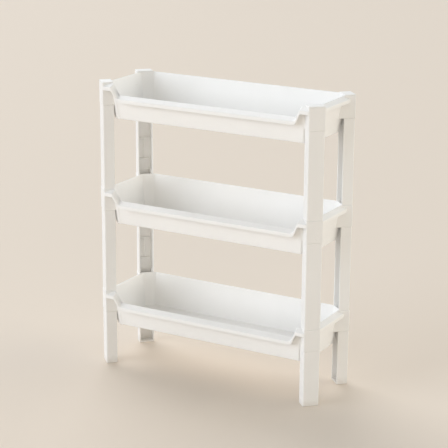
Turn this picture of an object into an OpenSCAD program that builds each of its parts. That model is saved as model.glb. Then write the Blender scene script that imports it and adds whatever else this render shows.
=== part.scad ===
// Knock-down storage rack in moulded plastic: three identical open trays with a
// sleeve at each corner, eight posts between the trays, four feet and four caps.
// The posts are channels, open towards the trays, set at 45 degrees on the corners.
// Everything plugs together: a tenon at each end of a post enters a sleeve and the
// shoulder of the post seats on the end of the sleeve. Millimetres, +Z up, the
// origin on the floor under the middle of the rack, the front facing -Y.

/* [Heights] */
// Visible height of a foot, from the floor to the lowest sleeves
foot_h = 114; // [60:1:180]
// Visible height of a post, from one tray's sleeves to the next
post_h = 174.5; // [130:0.5:260]
// Height of a tray's corner sleeve
sleeve_h = 45; // [43:1:60]
// Thickness of the plate of a top cap
cap_t = 2; // [1.5:0.1:4]

/* [Tray] */
// Length of a tray over its end lips
tray_l = 493; // [380:1:600]
// Depth of a tray over its front and back lips
tray_w = 180; // [150:1:240]
// Height of a tray from its underside to its crest
tray_h = 73.5; // [64:0.5:95]
// Leg of the 45 degree chamfer on the corners of the basin
chamfer_leg = 21; // [18:0.5:26]
// Amount by which the walls lean in from the crest to the underside
wall_lean = 10; // [3:0.5:14]
// Wall thickness of the basin
wall_t = 2.2; // [1.6:0.1:3]
// Floor thickness of the basin
floor_t = 2.4; // [1.6:0.1:3.5]
// Radius where the outside of the wall turns into the underside
base_r = 3.5; // [3.2:0.1:8]
// Radius of the upright corners of the basin
corner_r = 5; // [2:0.5:6]

/* [Rim] */
// Reach of the lip outside the crest
lip_out = 10.5; // [8:0.5:12]
// Drop of the sloping shoulder from the crest to the lip
shoulder_drop = 6; // [4:0.5:9]
// Height of the upright face of the lip
lip_h = 7.5; // [5:0.1:10]
// Thickness of the shoulder and of the lip
rim_t = 1.9; // [1.4:0.1:2.4]
// Radius of the edge between the shoulder and the lip
lip_r = 1.4; // [0.6:0.1:1.8]

/* [Front dip] */
// Depth by which the rim drops along the front
dip = 23; // [18:1:34]
// Slope of the rim where it drops
dip_slope = 62; // [45:1:66]
// Radius of the crest at the foot of the slope
dip_low_r = 4; // [2:0.5:12]
// Radius of the crest at the top of the slope
dip_high_r = 1.5; // [0.5:0.5:6]

/* [Legs] */
// Width of the outer face of a sleeve
leg_w = 34; // [30:0.5:38]
// Depth of a leg, from its outer face to its open side
leg_d = 23.5; // [19:0.5:26]
// Amount by which the corner of a leg stands out beyond the end lip
leg_out = 8.5; // [6:0.5:12]
// Radius of the outer corners of a leg
leg_r = 2; // [1:0.25:2.5]
// Wall thickness of a sleeve
sleeve_t = 3; // [2.4:0.1:3.6]
// Wall thickness of a post
post_t = 2.6; // [2:0.1:3.2]
// Step from the face of a sleeve down to the face of a post
post_step = 0.6; // [0.2:0.1:1]
// Wall between a socket and the inside of the basin
socket_back = 1.8; // [1.4:0.1:2.6]

/* [Plug joints] */
// Length of a tenon
tenon_l = 19; // [12:0.5:20]
// Wall thickness of a tenon
tenon_t = 2; // [1.6:0.1:2.4]
// Clearance round a tenon and a cap's skirt
plug_gap = 0.2; // [0.1:0.05:0.4]
// Length of the collar that thickens a post behind its tenon
collar_l = 7; // [4:0.5:10]
// Thickness of the web between the two sockets of a sleeve
web_t = 2.4; // [1.6:0.1:3]
// Length of the skirt under a cap
skirt_l = 12; // [6:0.5:18]

/* [Ribs in the posts] */
// Number of cross ribs in a post
rib_count = 3; // [1:1:3]
// Height of the lowest rib above the lower end of the post
rib_first = 30; // [12:1:36]
// Distance from one rib to the next
rib_pitch = 45; // [24:1:46]
// Height of a rib above the back of the channel
rib_d = 5; // [2:0.5:8]
// Thickness of a rib
rib_t = 1.8; // [1.2:0.1:2.4]
// Gap between the end of a cross rib and the flange beside it
rib_gap = 2.6; // [1:0.2:5]
// Thickness of the plate that closes the bottom of a foot
sole_t = 3; // [2:0.5:5]

/* [Hidden] */
$fn = 48;

plastic = [0.95, 0.95, 0.94];
over = 1;           // how far a cut runs past the face that it opens
bite = 0.6;         // how far one shape of a piece reaches into the next
crest_below = 0.5;  // how far the crest lies below the tops of the sleeves
cheek_reach = 14;   // cheeks behind a leg, long enough to end in the basin's wall
arc_steps = 4;      // chords in each bend of the basin and the rim
layers = 6;         // most walls of a tray along one line of sight, for the preview

// Heights of the crests, from the floor
crest_low = foot_h + sleeve_h;
tier = sleeve_h + post_h;
crest_mid = crest_low + tier;
crest_top = crest_mid + tier;

// Outline of the crest, an oblong with chamfered corners
crest_x = tray_l / 2 - lip_out;
crest_y = tray_w / 2 - lip_out;

// A leg's outer face runs at 45 degrees from the front lip out past the end lip
half_w = leg_w / 2;
face_x = tray_l / 2 + leg_out - half_w * sin(45);
face_y = tray_w / 2 - half_w * sin(45);
face_sum = face_x + face_y;
lip_leg = tray_l / 2 + tray_w / 2 - face_sum + bite;

// Where a tenon and a cap's skirt sit inside a sleeve, whose socket stops short of
// the basin's inside at the crest
plug_in = sleeve_t + plug_gap;
basin_back = wall_t + (face_sum - crest_x - crest_y + chamfer_leg) / sqrt(2);
socket_d = min(leg_d, basin_back) - sleeve_t - socket_back;

// Section of the rim: a shoulder that slopes down from the crest to an upright lip
rim_fall = shoulder_drop + lip_h;
shoulder_slope = atan2(shoulder_drop, lip_out);
shoulder_in = rim_t / cos(shoulder_slope);
lip_in = lip_out - rim_t;

// The two ends of the dip, measured along the front from the middle
dip_bends = dip_low_r + dip_high_r;
dip_run = dip - dip_bends * (1 - cos(dip_slope));
dip_len = dip_run / tan(dip_slope) + dip_bends * sin(dip_slope);
half_turn = tan(45 / 2);    // tangent length of a 45 degree bend of unit radius
dip_end = crest_x - chamfer_leg - corner_r * half_turn;
dip_start = dip_end - dip_len;

// Points of the crest's path through the dip, each [along the front, drop]
low_arc = [for (k = [0 : arc_steps]) let (a = dip_slope * k / arc_steps)
    [dip_start + dip_low_r * sin(a), dip - dip_low_r * (1 - cos(a))]];
high_arc = [for (k = [0 : arc_steps - 1]) let (a = dip_slope * (1 - k / arc_steps))
    [dip_end - dip_high_r * sin(a), dip_high_r * (1 - cos(a))]];
dip_path = concat(low_arc, high_arc);

// Section of the tray's wall and rim, from the floor inside, over the crest and
// under the lip, to the underside: each [out from the crest, height, on the rim]
base_in_r = base_r - wall_t;
function lean(z) = wall_lean * z / tray_h;
inner_fillet = [for (k = [0 : arc_steps]) let (a = 90 * k / arc_steps)
    [lean(base_in_r + floor_t - tray_h) - wall_t - base_in_r * (1 - sin(a)),
        floor_t - tray_h + base_in_r * (1 - cos(a)), 0]];
crest_r = wall_t / 2;
lip_steps = 3;
lip_bend = 90 - shoulder_slope;
crest_round = [for (a = [-90 : 45 : 45])
    [crest_r * sin(a) - crest_r, crest_r * (cos(a) - 1), 1]];
lip_z = -shoulder_drop - lip_r * (1 - sin(shoulder_slope)) / cos(shoulder_slope);
lip_round = [for (k = [0 : lip_steps]) let (a = shoulder_slope + lip_bend * k / lip_steps)
    [lip_out - lip_r * (1 - sin(a)), lip_z + lip_r * cos(a), 1]];
lip_under = [
    [lip_out, -rim_fall, 1],
    [lip_in, -rim_fall, 1],
    [lip_in, -lip_in * tan(shoulder_slope) - shoulder_in, 1],
    [0, -shoulder_in, 1]];
outer_fillet = [for (k = [0 : arc_steps]) let (a = 90 * k / arc_steps)
    [lean(base_r - tray_h) - base_r * (1 - cos(a)), base_r * (1 - sin(a)) - tray_h, 0]];
section = concat(inner_fillet, crest_round, lip_round, lip_under, outer_fillet);

// One quarter of a ring round the tray, n outside the crest: inside the crest a
// chamfer keeps the lean of the walls, and out to the lip it narrows to fit the leg
even_leg = 2 - sqrt(2);
function ring_leg(n) = chamfer_leg
    + (n < 0 ? even_leg * n : (lip_leg - chamfer_leg) * n / lip_out);
function quarter(n) =
    let (hx = crest_x + n, hy = crest_y + n, leg = ring_leg(n), r = corner_r)
    concat(
        [for (k = [0 : arc_steps]) let (a = 45 * k / arc_steps)
            [hx - leg - r * half_turn + r * sin(a), hy - r + r * cos(a)]],
        [for (k = [0 : arc_steps]) let (a = 45 + 45 * k / arc_steps)
            [hx - r + r * sin(a), hy - leg - r * half_turn + r * cos(a)]]);
function backwards(v) = [for (k = [len(v) - 1 : -1 : 0]) v[k]];

// The front of a ring: the rings of the rim drop straight down with the crest's
// path, and the rings of the wall only spread evenly over their own straight length
function dipped(p, side) =
    [for (s = side > 0 ? dip_path : backwards(dip_path))
        let (n = p[0], drop = p[2] * s[1],
            reach = (crest_x + n - ring_leg(n) - corner_r * half_turn) / dip_end)
        [side * s[0] * min(1, reach), -(crest_y + n + lean(-drop)), p[1] - drop]];
function ring(p) = let (q = quarter(p[0]), z = p[1])
    concat(
        [for (v = q) [v[0], -v[1], z]],
        [for (v = backwards(q)) [v[0], v[1], z]],
        [for (v = q) [-v[0], v[1], z]],
        [for (v = backwards(q)) [-v[0], -v[1], z]],
        dipped(p, -1),
        dipped(p, 1));

// A closed skin over a stack of rings with the same number of points, each ring
// anticlockwise from above and the outermost rings stacked upwards, with the two
// ends closed by triangles round a point on the axis
module skin(rings) {
    count = len(rings[0]);
    rows = len(rings);
    hubs = rows * count;
    sides = [for (j = [0 : rows - 2], i = [0 : count - 1])
        let (k = (i + 1) % count, a = j * count, b = a + count)
        each [[a + i, b + i, b + k], [a + i, b + k, a + k]]];
    first = [for (i = [0 : count - 1]) [hubs, i, (i + 1) % count]];
    last = [for (i = [0 : count - 1]) let (a = (rows - 1) * count)
        [hubs + 1, a + (i + 1) % count, a + i]];
    points = concat([for (r = rings) each r],
        [[0, 0, rings[0][0][2]], [0, 0, rings[rows - 1][0][2]]]);
    polyhedron(points, concat(first, last, sides), layers);
}

// The basin with its rim, the crest a little below the tops of the sleeves
module basin() {
    translate([0, 0, -crest_below])
        skin([for (p = backwards(section)) ring(p)]);
}

// The space inside the basin's wall, which the cheeks of the sleeves keep out of
module basin_core() {
    function plain(n, z) = let (hx = crest_x + n, hy = crest_y + n, c = ring_leg(n))
        [[hx - c, -hy, z], [hx, c - hy, z], [hx, hy - c, z], [hx - c, hy, z],
            [c - hx, hy, z], [-hx, hy - c, z], [-hx, c - hy, z], [c - hx, -hy, z]];
    skin([plain(lean(-tray_h) - bite, -tray_h), plain(lean(over) - bite, over)]);
}

// Places its children at one corner: the local origin is in the middle of the
// leg's outer face, X runs along the face and Y points in to the tray
module corner(side_x, side_y) {
    mirror([side_x > 0 ? 0 : 1, 0, 0])
        mirror([0, side_y > 0 ? 1 : 0, 0])
            translate([face_x, -face_y, 0])
                rotate([0, 0, 45])
                    children();
}

// Outline of a leg, square on the open side, its outer corners rounded
module leg_outline(inset, depth) {
    w = half_w - inset;
    r = leg_r;
    translate([-w, inset + r])
        square([2 * w, depth - inset - r]);
    translate([r - w, inset])
        square([2 * (w - r), r + bite]);
    for (s = [-1, 1])
        translate([s * (w - r), inset + r])
            circle(r);
}

// A square-cornered channel between an outer inset and an inner one
module channel(outer, inner, depth) {
    difference() {
        translate([outer - half_w, outer])
            square([leg_w - 2 * outer, depth - outer]);
        translate([inner - half_w, inner])
            square([leg_w - 2 * inner, depth]);
    }
}

// The socket of a sleeve, seen from above
module socket() {
    translate([sleeve_t - half_w, sleeve_t])
        square([leg_w - 2 * sleeve_t, socket_d]);
}

// The two sockets of a sleeve, one from each end, with the web left between them
module sockets() {
    deep = (sleeve_h - web_t) / 2;
    translate([0, 0, -deep])
        linear_extrude(deep + over)
            socket();
    translate([0, 0, -sleeve_h - over])
        linear_extrude(deep + over)
            socket();
}

// A sleeve: a box round the sockets, with two cheeks that run in to the basin
module sleeve() {
    difference() {
        translate([0, 0, -sleeve_h])
            linear_extrude(sleeve_h)
                leg_outline(0, leg_d + cheek_reach);
        translate([sleeve_t - half_w, leg_d, -sleeve_h - over])
            cube([leg_w - 2 * sleeve_t, cheek_reach + over, sleeve_h]);
    }
}

// A whole tray with its crest at height z
module tray(z) {
    color(plastic)
        translate([0, 0, z])
            difference() {
                union() {
                    basin();
                    difference() {
                        for (sx = [-1, 1], sy = [-1, 1])
                            corner(sx, sy)
                                sleeve();
                        basin_core();
                    }
                }
                for (sx = [-1, 1], sy = [-1, 1])
                    corner(sx, sy)
                        sockets();
            }
}

// A tenon that stands on z = 0, and the collar below it that carries it
module tenon() {
    depth = sleeve_t + socket_d - plug_gap;
    linear_extrude(tenon_l)
        channel(plug_in, plug_in + tenon_t, depth);
    translate([0, 0, -collar_l])
        linear_extrude(collar_l)
            channel(post_step + post_t - bite, plug_in + tenon_t, depth);
}

// The plain length of a post or foot
module shaft(h) {
    linear_extrude(h)
        difference() {
            leg_outline(post_step, leg_d);
            inset = post_step + post_t;
            translate([inset - half_w, inset])
                square([leg_w - 2 * inset, leg_d]);
        }
}

// The cross ribs on the back of a post's channel, with an upright web through them
module ribs() {
    back = post_step + post_t - bite;
    span = leg_w - 2 * (post_step + post_t + rib_gap);
    for (k = [0 : rib_count - 1])
        translate([-span / 2, back, rib_first + k * rib_pitch - rib_t / 2])
            cube([span, rib_d + bite, rib_t]);
    translate([-rib_t / 2, back, rib_first])
        cube([rib_t, rib_d - rib_t + bite, (rib_count - 1) * rib_pitch]);
}

// A post that stands on the crest at height z
module post(side_x, side_y, z) {
    color(plastic)
        corner(side_x, side_y)
            translate([0, 0, z]) {
                shaft(post_h);
                ribs();
                translate([0, 0, post_h])
                    tenon();
                mirror([0, 0, 1])
                    tenon();
            }
}

// A foot, closed at the floor by its sole
module foot(side_x, side_y) {
    color(plastic)
        corner(side_x, side_y) {
            shaft(foot_h);
            linear_extrude(sole_t)
                leg_outline(post_step, leg_d);
            translate([0, 0, foot_h])
                tenon();
        }
}

// A cap: a plate that covers the top of a sleeve, and a skirt that plugs into it
module cap(side_x, side_y) {
    depth = sleeve_t + socket_d - plug_gap;
    color(plastic)
        corner(side_x, side_y)
            translate([0, 0, crest_top]) {
                linear_extrude(cap_t)
                    leg_outline(0, leg_d);
                translate([0, 0, -skirt_l])
                    linear_extrude(skirt_l + bite)
                        difference() {
                            translate([plug_in - half_w, plug_in])
                                square([leg_w - 2 * plug_in, depth - plug_in]);
                            inset = plug_in + tenon_t;
                            translate([inset - half_w, inset])
                                square([leg_w - 2 * inset, depth - inset - tenon_t]);
                        }
            }
}

tray(crest_top);  // tray_top
tray(crest_mid);  // tray_middle
tray(crest_low);  // tray_bottom
post(1, -1, crest_mid);  // post_upper_front_right
post(-1, -1, crest_mid);  // post_upper_front_left
post(1, 1, crest_mid);  // post_upper_rear_right
post(-1, 1, crest_mid);  // post_upper_rear_left
post(1, -1, crest_low);  // post_lower_front_right
post(-1, -1, crest_low);  // post_lower_front_left
post(1, 1, crest_low);  // post_lower_rear_right
post(-1, 1, crest_low);  // post_lower_rear_left
foot(1, -1);  // foot_front_right
foot(-1, -1);  // foot_front_left
foot(1, 1);  // foot_rear_right
foot(-1, 1);  // foot_rear_left
cap(1, -1);  // cap_front_right
cap(-1, -1);  // cap_front_left
cap(1, 1);  // cap_rear_right
cap(-1, 1);  // cap_rear_left
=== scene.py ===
from math import cos, pi, radians, sin, sqrt, tan

import bmesh
import bpy
from mathutils import Matrix, Vector


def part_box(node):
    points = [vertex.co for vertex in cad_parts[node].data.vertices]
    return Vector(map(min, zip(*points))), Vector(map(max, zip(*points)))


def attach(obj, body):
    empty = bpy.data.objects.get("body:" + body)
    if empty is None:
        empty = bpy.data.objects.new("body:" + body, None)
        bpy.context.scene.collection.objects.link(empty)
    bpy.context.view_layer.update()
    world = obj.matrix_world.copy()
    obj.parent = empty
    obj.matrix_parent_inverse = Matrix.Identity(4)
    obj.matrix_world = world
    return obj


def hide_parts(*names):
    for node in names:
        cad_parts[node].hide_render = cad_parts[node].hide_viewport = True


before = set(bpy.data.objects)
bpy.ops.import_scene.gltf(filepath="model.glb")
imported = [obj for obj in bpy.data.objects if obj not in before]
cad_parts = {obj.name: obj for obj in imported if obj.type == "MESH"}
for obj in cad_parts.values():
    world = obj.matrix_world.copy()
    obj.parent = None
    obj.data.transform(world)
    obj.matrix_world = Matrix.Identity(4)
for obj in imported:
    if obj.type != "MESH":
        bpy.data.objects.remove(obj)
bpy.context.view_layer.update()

scene = bpy.context.scene

whitePlastic = {
    "tone": (0.912, 0.908, 0.895),      # satin white, a touch warm
    "paleTone": (0.935, 0.932, 0.922),  # where the resin cooled last
    "dustTone": (0.600, 0.560, 0.500),  # what settles on a shelf near a floor
    "rough": (0.34, 0.46),
    # each noise: how many per metre, detail, roughness
    "flow": (7, 3, 0.55),               # cloudy flow marks
    "flowCut": (0.35, 0.68),
    "peel": (95, 2, 0.4),               # slow waves left by shrinkage
    "peelCut": (0.3, 0.7),
    "peelBump": 0.35,
    "peelDepth": 0.00022,
    "grain": (2600, 2, 0.6),            # spark-eroded texture of the mould
    "grainBump": 0.30,
    "grainDepth": 0.00006,
    "scratch": (250, 3, 0.7),           # fine scratches
    "scratchDraw": 0.075,               # how far each one is drawn out
    "scratchCut": (0.665, 0.745),
    "scratchBump": 0.40,
    "scratchDepth": 0.00005,
    "scratchTint": 0.35,
    "scratchRough": 0.16,
    "patch": (21, 4, 0.6),              # the rubbed places that hold the scratches
    "patchCut": (0.48, 0.66),
    "clump": (34, 5, 0.62),             # uneven dust
    "clumpCut": (0.42, 0.72),
    "levelCut": (0.55, 0.98),           # only what faces up gathers dust
    "dustRough": 0.6,
    "soilTop": 0.016,                   # a foot is grubby up to about here
    "soilFade": 0.022,
    "soilRagged": (130, 4, 0.65),
    "bending": 1.49,                    # index of refraction
}
wearOf = {
    "trays": {"scuffs": 1.0, "dust": 0.10, "soil": 0.0},
    "posts": {"scuffs": 0.6, "dust": 0.12, "soil": 0.0},
    "feet": {"scuffs": 0.8, "dust": 0.10, "soil": 0.45},
    "caps": {"scuffs": 0.8, "dust": 0.08, "soil": 0.0},
}


def newMaterial(name):
    material = bpy.data.materials.new(name)
    material.use_nodes = True
    tree = material.node_tree
    tree.nodes.clear()
    return material, tree


def add(tree, kind, **sockets):
    node = tree.nodes.new(kind)
    for key, value in sockets.items():
        node.inputs[key.replace("_", " ")].default_value = value
    return node


def rgba(colour):
    return (colour[0], colour[1], colour[2], 1.0)


def blendColours(tree, factor, first, second):
    node = tree.nodes.new("ShaderNodeMix")
    node.data_type = "RGBA"
    tree.links.new(factor, node.inputs[0])
    for place, value in ((6, first), (7, second)):
        if hasattr(value, "is_linked"):
            tree.links.new(value, node.inputs[place])
        else:
            node.inputs[place].default_value = rgba(value)
    return node.outputs[2]


def remap(tree, value, lowIn, highIn, lowOut, highOut):
    node = add(tree, "ShaderNodeMapRange", From_Min=lowIn, From_Max=highIn, To_Min=lowOut, To_Max=highOut)
    node.clamp = True
    tree.links.new(value, node.inputs["Value"])
    return node.outputs["Result"]


def combine(tree, how, first, second):
    node = tree.nodes.new("ShaderNodeMath")
    node.operation = how
    for place, value in enumerate((first, second)):
        if hasattr(value, "is_linked"):
            tree.links.new(value, node.inputs[place])
        else:
            node.inputs[place].default_value = value
    return node.outputs[0]


def noiseField(tree, vector, scale, detail, roughness, stretch=None):
    if stretch:
        mapping = tree.nodes.new("ShaderNodeMapping")
        mapping.inputs["Scale"].default_value = stretch
        tree.links.new(vector, mapping.inputs["Vector"])
        vector = mapping.outputs["Vector"]
    noise = add(tree, "ShaderNodeTexNoise", Scale=scale, Detail=detail, Roughness=roughness)
    tree.links.new(vector, noise.inputs["Vector"])
    return noise.outputs["Fac"]


def mouldedPlastic(name, look, wear):
    material, tree = newMaterial(name)
    where = tree.nodes.new("ShaderNodeTexCoord").outputs["Object"]
    shape = tree.nodes.new("ShaderNodeNewGeometry")
    cloud = noiseField(tree, where, *look["flow"])
    peel = noiseField(tree, where, *look["peel"])
    grain = noiseField(tree, where, *look["grain"])

    # scratches run two ways and keep to rubbed patches
    draw = look["scratchDraw"]
    lengthwise = noiseField(tree, where, *look["scratch"], stretch=(draw, 1.0, 1.0))
    across = noiseField(tree, where, *look["scratch"], stretch=(1.0, draw, 1.0))
    both = combine(tree, "MAXIMUM", lengthwise, across)
    fine = remap(tree, both, *look["scratchCut"], 0, wear["scuffs"])
    patch = remap(tree, noiseField(tree, where, *look["patch"]), *look["patchCut"], 0, 1)
    scuffed = combine(tree, "MULTIPLY", fine, patch)

    # dust lies unevenly on what faces up
    facing = tree.nodes.new("ShaderNodeSeparateXYZ")
    tree.links.new(shape.outputs["Normal"], facing.inputs[0])
    upward = remap(tree, facing.outputs["Z"], *look["levelCut"], 0, 1)
    clumps = remap(tree, noiseField(tree, where, *look["clump"]), *look["clumpCut"], 0, wear["dust"])
    settled = combine(tree, "MULTIPLY", upward, clumps)

    colour = blendColours(tree, remap(tree, cloud, *look["flowCut"], 0, 1), look["tone"], look["paleTone"])
    colour = blendColours(tree, settled, colour, look["dustTone"])
    if wear["soil"]:
        height = tree.nodes.new("ShaderNodeSeparateXYZ")
        tree.links.new(where, height.inputs[0])
        rags = noiseField(tree, where, *look["soilRagged"])
        ragged = combine(tree, "MULTIPLY", rags, look["soilFade"])
        level = combine(tree, "ADD", height.outputs["Z"], ragged)
        soilLow = look["soilTop"] - look["soilFade"] / 2
        soilHigh = look["soilTop"] + look["soilFade"] / 2
        soil = remap(tree, level, soilLow, soilHigh, wear["soil"], 0)
        colour = blendColours(tree, soil, colour, look["dustTone"])
    tint = combine(tree, "MULTIPLY", scuffed, look["scratchTint"])
    colour = blendColours(tree, tint, colour, look["dustTone"])

    roughness = remap(tree, peel, *look["peelCut"], *look["rough"])
    roughness = combine(tree, "ADD", roughness, combine(tree, "MULTIPLY", scuffed, look["scratchRough"]))
    roughness = combine(tree, "ADD", roughness, combine(tree, "MULTIPLY", settled, look["dustRough"]))

    slow = add(tree, "ShaderNodeBump", Strength=look["peelBump"], Distance=look["peelDepth"])
    sharp = add(tree, "ShaderNodeBump", Strength=look["grainBump"], Distance=look["grainDepth"])
    scored = add(tree, "ShaderNodeBump", Strength=look["scratchBump"], Distance=look["scratchDepth"])
    scored.invert = True
    tree.links.new(peel, slow.inputs["Height"])
    tree.links.new(grain, sharp.inputs["Height"])
    tree.links.new(slow.outputs["Normal"], sharp.inputs["Normal"])
    tree.links.new(scuffed, scored.inputs["Height"])
    tree.links.new(sharp.outputs["Normal"], scored.inputs["Normal"])

    shader = add(tree, "ShaderNodeBsdfPrincipled", IOR=look["bending"])
    tree.links.new(colour, shader.inputs["Base Color"])
    tree.links.new(roughness, shader.inputs["Roughness"])
    tree.links.new(scored.outputs["Normal"], shader.inputs["Normal"])
    output = tree.nodes.new("ShaderNodeOutputMaterial")
    tree.links.new(shader.outputs["BSDF"], output.inputs["Surface"])
    return material


plasticOf = {part: mouldedPlastic(part + "Plastic", whitePlastic, wear) for part, wear in wearOf.items()}
print("plastic mixed")

limits = {
    "weld": 0.000002,      # corners closer than this are one
    "level": 0.000001,     # what still counts as one level
    "spot": 0.00001,       # what still counts as one spot of an outline
    "places": 6,           # decimals by which two corners are matched
    "levelNormal": 0.9,    # a face is level when its normal rises more than this
    "sameFace": 1,         # degrees between faces that are one
    "sharpAngle": 38,      # degrees at which the shading breaks
}
steps = {"tiny": 2, "edge": 3, "soft": 4, "bend": 5, "round": 6, "wide": 8}  # segments of a rounding
# which band of a basin a face is in; hidden is added for the side that solidify makes
band = {"floor": 0, "wall": 1, "shoulder": 2, "lip": 3, "hidden": 4, "underLip": 8}

trayShape = {
    "height": 0.0735,               # underside to crest
    "crestHalf": (0.2360, 0.0795),  # half the length and half the depth at the crest
    "crestSink": 0.0005,            # the crest lies this far below the sleeves' tops
    "lean": 0.0100,                 # how far the walls come in on the way down
    "sheet": 0.0022,
    "chamfer": 0.0210,
    "cornerRadius": 0.0040,
    "lipReach": 0.0105,
    "lipChamfer": 0.01614,
    "ridge": 0.0006,                # where wall and shoulder would meet if unrounded
    "lipTop": 0.00604,
    "lipFoot": 0.0135,
    "dip": 0.0230,                  # how far the front of the rim drops
    "dipFoot": 0.1995,              # half the width of the dip below its slopes
    "dipTop": 0.2113,
    "footBend": 0.0056,
    "topBend": 0.0015,              # tighter, and the ends of the front wall cross themselves more
    "crestRound": 0.00150,
    "lipRound": 0.00085,
    "floorRound": 0.0019,
    "baseRound": 0.0030,
    "rootRound": 0.0008,
    "edgeRound": 0.0005,
    "frontTurn": 0.1,               # a face that turns less than this still belongs to the front wall
}
sleeveShape = {
    "face": (0.242979, 0.077979),   # middle of a leg's outer face, front right
    "width": 0.0340,
    "depth": 0.0235,
    "cheek": 0.0140,                # the two cheeks run on into the basin's wall
    "height": 0.0450,
    "wall": 0.0030,
    "socket": 0.0161,
    "web": 0.0024,
    "radius": 0.0020,
    "edge": 0.0013,
    "bite": 0.0006,
}
dipColumns = (1, 2, 3, 4)           # places in the outline where the rim bends down


def outlineAt(shape, reach):
    halfX, halfY = (half + reach for half in shape["crestHalf"])
    slope = 2 - sqrt(2) if reach < 0 else (shape["lipChamfer"] - shape["chamfer"]) / shape["lipReach"]
    cut = shape["chamfer"] + slope * reach
    bend = shape["cornerRadius"] * tan(pi / 8)
    spread = min(1, (halfX - cut - bend) / (shape["crestHalf"][0] - shape["chamfer"] - bend))
    top, foot = shape["dipTop"] * spread, shape["dipFoot"] * spread
    front = [(x, -halfY) for x in (cut - halfX, -top, -foot, foot, top, halfX - cut)]
    sides = [(halfX, cut - halfY), (halfX, halfY - cut), (halfX - cut, halfY)]
    return front + sides + [(cut - halfX, halfY), (-halfX, halfY - cut), (-halfX, cut - halfY)]


def setRing(shape, ring, reach, level, sinks):
    for place, (vert, (x, y)) in enumerate(zip(ring, outlineAt(shape, reach))):
        drop = shape["dip"] if sinks and place in (2, 3) else 0
        vert.co = (x, y + drop * shape["lean"] / shape["height"], level - drop)


def vertsOf(geometry):
    return [v for v in geometry if isinstance(v, bmesh.types.BMVert)]


def growRing(bm, ring):
    count = len(ring)
    edges = [bm.edges.get((ring[i], ring[(i + 1) % count])) for i in range(count)]
    fresh = set(vertsOf(bmesh.ops.extrude_edge_only(bm, edges=edges)["geom"]))
    return [next(e.other_vert(v) for e in v.link_edges if e.other_vert(v) in fresh) for v in ring]


def bevelEdges(bm, edges, offset, segments, along="OFFSET"):
    bmesh.ops.bevel(bm, geom=edges, offset=offset, offset_type=along, segments=segments, profile=0.5,
                    affect="EDGES", clamp_overlap=False, material=-1)


def edgesBetween(bm, first, second):
    wanted = {first, second}
    shared = [e for e in bm.edges if len(e.link_faces) == 2]
    return [e for e in shared if {f.material_index for f in e.link_faces} == wanted]


def hiddenSide(name):
    return band[name] + band["hidden"]


def flattenFront(bm, shape):
    # the front wall is one plane right through the dip, and its bends may not pull it off that plane
    wall = [f for f in bm.faces if f.material_index == band["wall"] and f.calc_center_median().y < 0]
    for vert in {v for f in wall for v in f.verts}:
        sides = [f.normal for f in vert.link_faces if f.material_index == band["wall"]]
        if all(abs(side.x) < shape["frontTurn"] and abs(side.y) > abs(side.z) for side in sides):
            reach = shape["lean"] * vert.co.z / shape["height"] - shape["sheet"]
            vert.co.y = -shape["crestHalf"][1] - reach


def flattenUnderside(bm, shape):
    # the round along the foot of the wall may overshoot at the corners
    under = max((f for f in bm.faces if f.normal.z < -limits["levelNormal"]), key=lambda f: f.calc_area())
    for vert in under.verts:
        vert.co.z = -shape["height"]
    for vert in bm.verts:
        vert.co.z = max(vert.co.z, -shape["height"])


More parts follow.
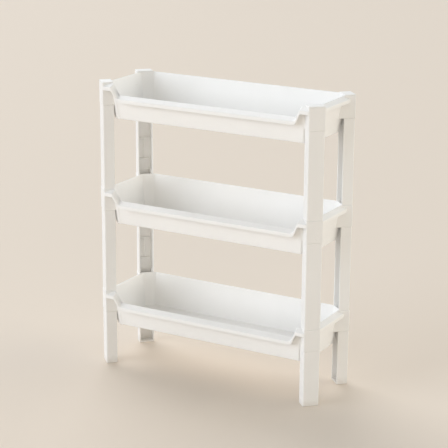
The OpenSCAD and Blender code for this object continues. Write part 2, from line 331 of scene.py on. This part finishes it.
def basinMesh(shape):
    bm = bmesh.new()
    floorReach = -shape["sheet"] - shape["lean"] * (1 - shape["sheet"] / shape["height"])
    ring = [bm.verts.new((0, 0, 0)) for _ in outlineAt(shape, 0)]
    setRing(shape, ring, floorReach, shape["sheet"] - shape["height"], False)
    bm.faces.new(ring)
    ridgeReach = -shape["sheet"] + shape["ridge"] * shape["lean"] / shape["height"]
    section = [
        (ridgeReach, shape["ridge"]),
        (shape["lipReach"], -shape["lipTop"]),
        (shape["lipReach"], -shape["lipFoot"]),
    ]
    rings = [ring]
    for reach, level in section:
        rings.append(growRing(bm, rings[-1]))
        setRing(shape, rings[-1], reach, level, True)
    levels = list(zip(rings, rings[1:]))
    for place, (low, high) in enumerate(levels):
        for i, vert in enumerate(low):
            edge = bm.edges.get((vert, low[(i + 1) % len(low)]))
            for face in edge.link_faces:
                if high[i] in face.verts:
                    face.material_index = place + band["wall"]
    bmesh.ops.recalc_face_normals(bm, faces=bm.faces[:])
    floorFace = next(f for f in bm.faces if f.material_index == band["floor"])
    if floorFace.normal.z < 0:
        bmesh.ops.reverse_faces(bm, faces=bm.faces[:])
    columns = [[bm.edges.get((low[i], high[i])) for low, high in levels] for i in range(len(ring))]
    corners = [e for i, column in enumerate(columns) if i not in dipColumns for e in column]
    bevelEdges(bm, corners, shape["cornerRadius"] * tan(pi / 8), steps["round"])
    bevelEdges(bm, columns[2] + columns[3], shape["footBend"], steps["wide"], "ABSOLUTE")
    bevelEdges(bm, columns[1] + columns[4], shape["topBend"], steps["bend"])
    bmesh.ops.remove_doubles(bm, verts=bm.verts[:], dist=limits["weld"])
    bm.normal_update()
    flattenFront(bm, shape)
    bm.normal_update()
    before = set(bm.faces)
    back = set(bmesh.ops.solidify(bm, geom=bm.faces[:], thickness=shape["sheet"])["geom"]) & set(bm.faces)
    for face in bm.faces:
        if face in back:
            face.material_index += band["hidden"]
        elif face not in before:
            face.material_index = band["underLip"]
    bevelEdges(bm, edgesBetween(bm, band["wall"], band["shoulder"]), shape["crestRound"], steps["round"])
    bevelEdges(bm, edgesBetween(bm, band["shoulder"], band["lip"]), shape["lipRound"], steps["soft"])
    bevelEdges(bm, edgesBetween(bm, band["floor"], band["wall"]), shape["floorRound"], steps["bend"])
    base = edgesBetween(bm, hiddenSide("floor"), hiddenSide("wall"))
    bevelEdges(bm, base, shape["baseRound"], steps["round"])
    bm.normal_update()
    flattenUnderside(bm, shape)
    root = edgesBetween(bm, hiddenSide("wall"), hiddenSide("shoulder"))
    bevelEdges(bm, root, shape["rootRound"], steps["edge"])
    rim = edgesBetween(bm, band["lip"], band["underLip"])
    rim += edgesBetween(bm, hiddenSide("lip"), band["underLip"])
    bevelEdges(bm, rim, shape["edgeRound"], steps["edge"])
    bmesh.ops.remove_doubles(bm, verts=bm.verts[:], dist=limits["weld"])
    bmesh.ops.translate(bm, verts=bm.verts[:], vec=(0, 0, -shape["crestSink"]))
    return bm


def coreMesh(shape, bite):
    # the room inside the basin's wall, which the cheeks are cut away to
    bm = bmesh.new()
    ring = [bm.verts.new((0, 0, 0)) for _ in outlineAt(shape, 0)]
    setRing(shape, ring, -shape["lean"] - bite, -shape["height"], False)
    floorFace = bm.faces.new(ring)
    upper = bmesh.ops.extrude_face_region(bm, geom=[floorFace])["geom"]
    places = limits["places"]
    byPlace = {(round(v.co.x, places), round(v.co.y, places)): v for v in vertsOf(upper)}
    order = [byPlace[(round(v.co.x, places), round(v.co.y, places))] for v in ring]
    rise = 0.002                        # how far it stands over the crest
    setRing(shape, order, rise * shape["lean"] / shape["height"] - bite, rise, False)
    bmesh.ops.recalc_face_normals(bm, faces=bm.faces[:])
    return bm


def prism(bm, outline, low, high):
    base = bm.faces.new([bm.verts.new((x, y, low)) for x, y in outline])
    grown = bmesh.ops.extrude_face_region(bm, geom=[base])["geom"]
    bmesh.ops.translate(bm, verts=vertsOf(grown), vec=(0, 0, high - low))
    bmesh.ops.recalc_face_normals(bm, faces=bm.faces[:])
    return bm


def uprightEdges(bm, spots):
    found = []
    for e in bm.edges:
        a, b = (v.co for v in e.verts)
        upright = (a - b).xy.length < limits["level"]
        if upright and any((a.xy - Vector(spot)).length < limits["spot"] for spot in spots):
            found.append(e)
    return found


def sleeveMesh(shape):
    half, inner = shape["width"] / 2, shape["width"] / 2 - shape["wall"]
    end = shape["depth"] + shape["cheek"]
    outline = [(-half, 0), (half, 0), (half, end), (inner, end), (inner, shape["depth"]),
               (-inner, shape["depth"]), (-inner, end), (-half, end)]
    bm = prism(bmesh.new(), outline, -shape["height"], 0)
    bevelEdges(bm, uprightEdges(bm, outline[:2]), shape["radius"], steps["round"])
    ends = [f for f in bm.faces if abs(f.normal.z) > limits["levelNormal"]]
    bevelEdges(bm, [e for f in ends for e in f.edges], shape["edge"], steps["edge"])
    return bm


def socketMesh(shape):
    inner = shape["width"] / 2 - shape["wall"]
    far = shape["wall"] + shape["socket"]
    outline = [(-inner, shape["wall"]), (inner, shape["wall"]), (inner, far), (-inner, far)]
    deep = (shape["height"] - shape["web"]) / 2
    past = 0.001                        # the cut runs this far out of the sleeve
    bm = prism(bmesh.new(), outline, -deep, past)
    return prism(bm, outline, -shape["height"] - past, deep - shape["height"])


def cornerPlace(sideX, sideY, level):
    # from a leg's own axes, X along its outer face and Y in to the trays, to one corner of the rack
    faceX, faceY = sleeveShape["face"]
    mirror = Matrix.Diagonal((sideX, -sideY, 1, 1))
    return mirror @ Matrix.Translation((faceX, -faceY, level)) @ Matrix.Rotation(pi / 4, 4, "Z")


def atCorners(source):
    bm = bmesh.new()
    mesh = bpy.data.meshes.new("corner")
    source.to_mesh(mesh)
    source.free()
    for sideX in (1, -1):
        for sideY in (-1, 1):
            known = set(bm.verts)
            bm.from_mesh(mesh)
            fresh = [v for v in bm.verts if v not in known]
            bmesh.ops.transform(bm, matrix=cornerPlace(sideX, sideY, 0), verts=fresh)
    bmesh.ops.recalc_face_normals(bm, faces=bm.faces[:])
    bpy.data.meshes.remove(mesh)
    return bm


def toObject(bm, name):
    mesh = bpy.data.meshes.new(name)
    bm.to_mesh(mesh)
    bm.free()
    piece = bpy.data.objects.new(name, mesh)
    scene.collection.objects.link(piece)
    return piece


def cutOrJoin(piece, tool, operation):
    modifier = piece.modifiers.new("boolean", "BOOLEAN")
    modifier.operation = operation
    modifier.solver = "MANIFOLD"
    modifier.object = tool
    settled = piece.evaluated_get(bpy.context.evaluated_depsgraph_get())
    mesh = bpy.data.meshes.new_from_object(settled)
    piece.modifiers.clear()
    piece.data = mesh
    bpy.data.objects.remove(tool)
    return piece


def finishMesh(piece, material):
    mesh = piece.data
    mesh.materials.clear()
    mesh.materials.append(material)
    bm = bmesh.new()
    bm.from_mesh(mesh)
    bmesh.ops.remove_doubles(bm, verts=bm.verts[:], dist=limits["weld"])
    for face in bm.faces:
        face.material_index = 0
    bm.to_mesh(mesh)
    openEdges = sum(1 for e in bm.edges if len(e.link_faces) != 2)
    volume = round(bm.calc_volume() * 100 ** 3, 1)
    print(piece.name, "faces", len(bm.faces), "open edges", openEdges, "cm3", volume)
    bm.free()
    mesh.shade_smooth()
    mesh.set_sharp_from_angle(angle=radians(limits["sharpAngle"]))
    weighted = piece.modifiers.new("weighted", "WEIGHTED_NORMAL")
    weighted.keep_sharp = True


def buildTray(shape, sleeve):
    tray = toObject(atCorners(sleeveMesh(sleeve)), "trayShape")
    cutOrJoin(tray, toObject(coreMesh(shape, sleeve["bite"]), "core"), "DIFFERENCE")
    cutOrJoin(tray, toObject(basinMesh(shape), "basin"), "UNION")
    return cutOrJoin(tray, toObject(atCorners(socketMesh(sleeve)), "sockets"), "DIFFERENCE")


def placeCopy(pattern, name, place, part, slotName, *nodeNames):
    piece = bpy.data.objects.new(name, pattern.data.copy())
    piece.data.transform(place)
    if place.determinant() < 0:
        piece.data.flip_normals()
    scene.collection.objects.link(piece)
    finishMesh(piece, plasticOf[part])
    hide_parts(*nodeNames)
    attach(piece, "root")


pattern = buildTray(trayShape, sleeveShape)
for tier in ("top", "middle", "bottom"):
    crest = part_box("tray_" + tier)[1].z
    placeCopy(pattern, "basket_" + tier, Matrix.Translation((0, 0, crest)), "trays", "trays", "tray_" + tier)
bpy.data.objects.remove(pattern)
print("trays moulded")

legShape = {
    "width": 0.0340,           # outer face of a sleeve
    "depth": 0.0235,
    "step": 0.0006,            # a post stands this far inside a sleeve's faces
    "wall": 0.0026,
    "postHeight": 0.1745,
    "footHeight": 0.1140,
    "sole": 0.0030,
    "cornerRound": 0.0023,
    "tipRound": 0.0010,        # free edges of the two flanges
    "insideRound": 0.0010,
    "endRound": 0.0009,
    "soleRound": 0.0010,
}
tenonShape = {
    "inset": 0.0032,           # what plugs into a sleeve
    "wall": 0.0020,
    "depth": 0.0189,
    "height": 0.0190,
    "round": 0.0005,
    "collar": 0.0070,          # thickening of the post behind it
    "collarInset": 0.0026,
    "shy": 0.0002,
}
ribShape = {
    "count": 3,
    "first": 0.0300,
    "pitch": 0.0450,
    "reach": 0.0050,
    "webTo": 1,                # the upright web ends at this rib, counted from 0
    "thickness": 0.0018,
    "gap": 0.0026,
    "bite": 0.0006,
    "round": 0.0004,
}


def channelOutline(inset, wall, depth):
    # round a leg's channel: two outer corners, a flange, two inner corners, the other flange
    half = legShape["width"] / 2 - inset
    room = half - wall
    return [(-half, inset), (half, inset), (half, depth), (room, depth), (room, inset + wall),
            (-room, inset + wall), (-room, depth), (-half, depth)]


def roundChannel(bm, outline, corner, tip, inside):
    rounds = [
        (outline[:2], corner, steps["round"]),
        (outline[2:4] + outline[6:], tip, steps["soft"]),
        (outline[4:6], inside, steps["soft"]),
    ]
    for spots, radius, segments in rounds:
        if radius:
            bevelEdges(bm, uprightEdges(bm, spots), radius, segments)


def roundEnd(bm, level, radius, segments):
    flat = [f for f in bm.faces if abs(f.normal.z) > limits["levelNormal"]]
    ends = [f for f in flat if abs(f.calc_center_median().z - level) < limits["level"]]
    bevelEdges(bm, [e for f in ends for e in f.edges], radius, segments)


def shaftMesh(leg):
    outline = channelOutline(leg["step"], leg["wall"], leg["depth"])
    bm = prism(bmesh.new(), outline, 0, leg["postHeight"])
    roundChannel(bm, outline, leg["cornerRound"], leg["tipRound"], leg["insideRound"])
    roundEnd(bm, 0, leg["endRound"], steps["edge"])
    roundEnd(bm, leg["postHeight"], leg["endRound"], steps["edge"])
    return bm


def extrudeUp(bm, faces, rise, keepBase):
    source = faces + list({e for f in faces for e in f.edges})
    grown = bmesh.ops.extrude_face_region(bm, geom=source, use_keep_orig=keepBase)["geom"]
    bmesh.ops.translate(bm, verts=vertsOf(grown), vec=(0, 0, rise))
    return [f for f in grown if isinstance(f, bmesh.types.BMFace)]


def footMesh(leg):
    # the sole grows first, then the channel's wall out of the rim of it
    outline = channelOutline(leg["step"], leg["wall"], leg["depth"])
    bm = bmesh.new()
    ring = [bm.verts.new((x, y, 0)) for x, y in outline]
    faces = [bm.faces.new(ring), bm.faces.new(ring[6:2:-1])]
    tops = extrudeUp(bm, faces, leg["sole"], True)
    wall = [f for f in tops if len(f.verts) == len(outline)]
    extrudeUp(bm, wall, leg["footHeight"] - leg["sole"], False)
    bmesh.ops.recalc_face_normals(bm, faces=bm.faces[:])
    same = radians(limits["sameFace"])
    bmesh.ops.dissolve_limit(bm, angle_limit=same, verts=bm.verts[:], edges=bm.edges[:])
    roundChannel(bm, outline, leg["cornerRound"], 0, leg["insideRound"])
    roundEnd(bm, 0, leg["soleRound"], steps["soft"])
    roundEnd(bm, leg["footHeight"], leg["endRound"], steps["edge"])
    return bm


def tenonMeshes(tenon, level, way):
    # a tenon that points up or down from the end of a post at that level, and its collar
    outline = channelOutline(tenon["inset"], tenon["wall"], tenon["depth"])
    ends = sorted((level - way * tenon["collar"], level + way * tenon["height"]))
    plug = prism(bmesh.new(), outline, *ends)
    for end in ends:
        roundEnd(plug, end, tenon["round"], steps["tiny"])
    shy = tenon["shy"]
    outline = channelOutline(tenon["collarInset"], tenon["wall"], tenon["depth"] - shy)
    ends = sorted((level - way * (tenon["collar"] - shy), level - way * shy))
    collar = prism(bmesh.new(), outline, *ends)
    return [plug, collar]


def boxMesh(low, high, radius):
    outline = [(low[0], low[1]), (high[0], low[1]), (high[0], high[1]), (low[0], high[1])]
    bm = prism(bmesh.new(), outline, low[2], high[2])
    bevelEdges(bm, bm.edges[:], radius, steps["tiny"])
    return bm


def ribMeshes(rib, leg):
    back = leg["step"] + leg["wall"]
    half = leg["width"] / 2 - back - rib["gap"]
    thin = rib["thickness"] / 2
    levels = [rib["first"] + place * rib["pitch"] for place in range(rib["count"])]
    front = back + rib["reach"]
    root = back - rib["bite"]
    made = [boxMesh((-half, root, z - thin), (half, front, z + thin), rib["round"]) for z in levels]
    webTop = (thin, front - rib["thickness"], levels[rib["webTo"]])
    web = boxMesh((-thin, root, levels[0]), webTop, rib["round"])
    return made + [web]


def fuse(name, meshes):
    piece = toObject(meshes[0], name)
    for mesh in meshes[1:]:
        cutOrJoin(piece, toObject(mesh, "addition"), "UNION")
    return piece


cornerOf = {
    "front_right": (1, -1),
    "front_left": (-1, -1),
    "rear_right": (1, 1),
    "rear_left": (-1, 1),
}
post = fuse("postShape", [shaftMesh(legShape)] + tenonMeshes(tenonShape, legShape["postHeight"], 1)
            + tenonMeshes(tenonShape, 0, -1) + ribMeshes(ribShape, legShape))
foot = fuse("footShape", [footMesh(legShape)] + tenonMeshes(tenonShape, legShape["footHeight"], 1))
for cornerName, sides in cornerOf.items():
    for tier in ("upper", "lower"):
        node = "post_" + tier + "_" + cornerName
        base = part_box(node)[0].z + tenonShape["height"]
        place = cornerPlace(*sides, base)
        placeCopy(post, "upright_" + tier + "_" + cornerName, place, "posts", "posts", node)
    placeCopy(foot, "leg_end_" + cornerName, cornerPlace(*sides, 0), "feet", "posts", "foot_" + cornerName)
bpy.data.objects.remove(post)
bpy.data.objects.remove(foot)
print("posts and feet moulded")

capShape = {
    "plate": 0.0020,
    "cornerRound": 0.0022,
    "rearRound": 0.0010,
    "topRound": 0.0012,
    "underRound": 0.0003,
    "skirtInset": 0.0032,
    "skirtWall": 0.0020,
    "skirtDepth": 0.0189,
    "skirt": 0.0120,
    "bite": 0.0005,
}


def capPiece(cap, leg):
    half = leg["width"] / 2
    outline = [(-half, 0), (half, 0), (half, leg["depth"]), (-half, leg["depth"])]
    plate = prism(bmesh.new(), outline, 0, cap["plate"])
    bevelEdges(plate, uprightEdges(plate, outline[:2]), cap["cornerRound"], steps["round"])
    bevelEdges(plate, uprightEdges(plate, outline[2:]), cap["rearRound"], steps["soft"])
    roundEnd(plate, cap["plate"], cap["topRound"], steps["bend"])
    roundEnd(plate, 0, cap["underRound"], steps["tiny"])
    inset, wall = cap["skirtInset"], cap["skirtWall"]
    low, high = (inset - half, inset, -cap["skirt"]), (half - inset, cap["skirtDepth"], cap["bite"])
    skirt = boxMesh(low, high, cap["underRound"])
    piece = fuse("capShape", [plate, skirt])
    roomLow = (low[0] + wall, low[1] + wall, -2 * cap["skirt"])
    roomHigh = (high[0] - wall, high[1] - wall, 0)
    room = boxMesh(roomLow, roomHigh, cap["underRound"])
    return cutOrJoin(piece, toObject(room, "room"), "DIFFERENCE")


cap = capPiece(capShape, legShape)
for cornerName, sides in cornerOf.items():
    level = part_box("cap_" + cornerName)[1].z - capShape["plate"]
    placeCopy(cap, "lid_" + cornerName, cornerPlace(*sides, level), "caps", "caps", "cap_" + cornerName)
bpy.data.objects.remove(cap)
print("caps moulded")

studio = {
    "floorTone": (0.790, 0.700, 0.600),
    "floorRough": 0.7,
    "floorSize": 60.0,
    "sky": (0.94, 0.975, 1.0),
    "skyStrength": 0.42,
}
# wide soft lights a long way off: where each one comes from, in degrees from the front and above the floor
lamps = {
    "key": {"azimuth": -40, "elevation": 14, "spread": 48, "strength": 1.60, "tone": (0.88, 0.93, 1.0)},
    "front": {"azimuth": 30, "elevation": 14, "spread": 48, "strength": 0.44, "tone": (1.0, 0.84, 0.60)},
    "right": {"azimuth": 120, "elevation": 14, "spread": 48, "strength": 1.14, "tone": (1.0, 0.94, 0.82)},
    "back": {"azimuth": 160, "elevation": 14, "spread": 48, "strength": 0.46, "tone": (0.85, 0.92, 1.0)},
    "rear": {"azimuth": -130, "elevation": 38, "spread": 48, "strength": 1.30, "tone": (1.0, 0.98, 0.97)},
}


def paleFloor(setup):
    material, tree = newMaterial("paleFloor")
    shader = add(tree, "ShaderNodeBsdfPrincipled", Roughness=setup["floorRough"])
    shader.inputs["Base Color"].default_value = rgba(setup["floorTone"])
    output = tree.nodes.new("ShaderNodeOutputMaterial")
    tree.links.new(shader.outputs["BSDF"], output.inputs["Surface"])
    shape = bmesh.new()
    bmesh.ops.create_grid(shape, x_segments=1, y_segments=1, size=setup["floorSize"] / 2)
    mesh = bpy.data.meshes.new("floor")
    shape.to_mesh(mesh)
    shape.free()
    mesh.materials.append(material)
    floor = bpy.data.objects.new("floor", mesh)
    scene.collection.objects.link(floor)
    world = bpy.data.worlds.new("studio")
    scene.world = world
    world.use_nodes = True
    sky = world.node_tree.nodes["Background"]
    sky.inputs["Color"].default_value = rgba(setup["sky"])
    sky.inputs["Strength"].default_value = setup["skyStrength"]


def softLamp(name, lamp):
    light = bpy.data.lights.new(name, "SUN")
    light.angle = radians(lamp["spread"])
    light.energy = lamp["strength"]
    light.color = lamp["tone"]
    turn, rise = radians(lamp["azimuth"]), radians(lamp["elevation"])
    source = Vector((sin(turn) * cos(rise), -cos(turn) * cos(rise), sin(rise)))
    piece = bpy.data.objects.new(name, light)
    piece.rotation_euler = source.to_track_quat("Z", "Y").to_euler()
    scene.collection.objects.link(piece)


viewpoint = {
    "azimuth": 29.665,     # degrees to the right of the front
    "elevation": 16.150,
    "roll": 0.364,
    "distance": 3.12797,   # metres from the point looked at
    "middle": (223.998, 232.282),  # pixel where the point looked at falls
    "side": 448,           # pixels of the image
    "focal": 1541.58,      # in the same pixels
    "sensor": 36,
    "clip": (0.05, 100),
    "aim": (0, 0, 0.3),
}


def placeCamera(look):
    turn, rise, roll = radians(look["azimuth"]), radians(look["elevation"]), radians(look["roll"])
    back = Vector((sin(turn) * cos(rise), -cos(turn) * cos(rise), sin(rise)))
    right = Vector((cos(turn), sin(turn), 0))
    up = back.cross(right)
    right, up = cos(roll) * right + sin(roll) * up, cos(roll) * up - sin(roll) * right
    offRight = (look["middle"][0] - look["side"] / 2) / look["focal"] * look["distance"]
    offDown = (look["middle"][1] - look["side"] / 2) / look["focal"] * look["distance"]
    place = Vector(look["aim"]) - offRight * right + offDown * up + look["distance"] * back
    data = bpy.data.cameras.new("camera")
    data.sensor_width = look["sensor"]
    data.lens = look["focal"] / look["side"] * data.sensor_width
    data.clip_start, data.clip_end = look["clip"]
    camera = bpy.data.objects.new("camera", data)
    camera.matrix_world = Matrix.Translation(place) @ Matrix((right, up, back)).transposed().to_4x4()
    scene.collection.objects.link(camera)
    scene.camera = camera


paleFloor(studio)
for lampName, lamp in lamps.items():
    softLamp(lampName, lamp)
placeCamera(viewpoint)
scene.view_settings.view_transform = "Standard"
print("studio ready")
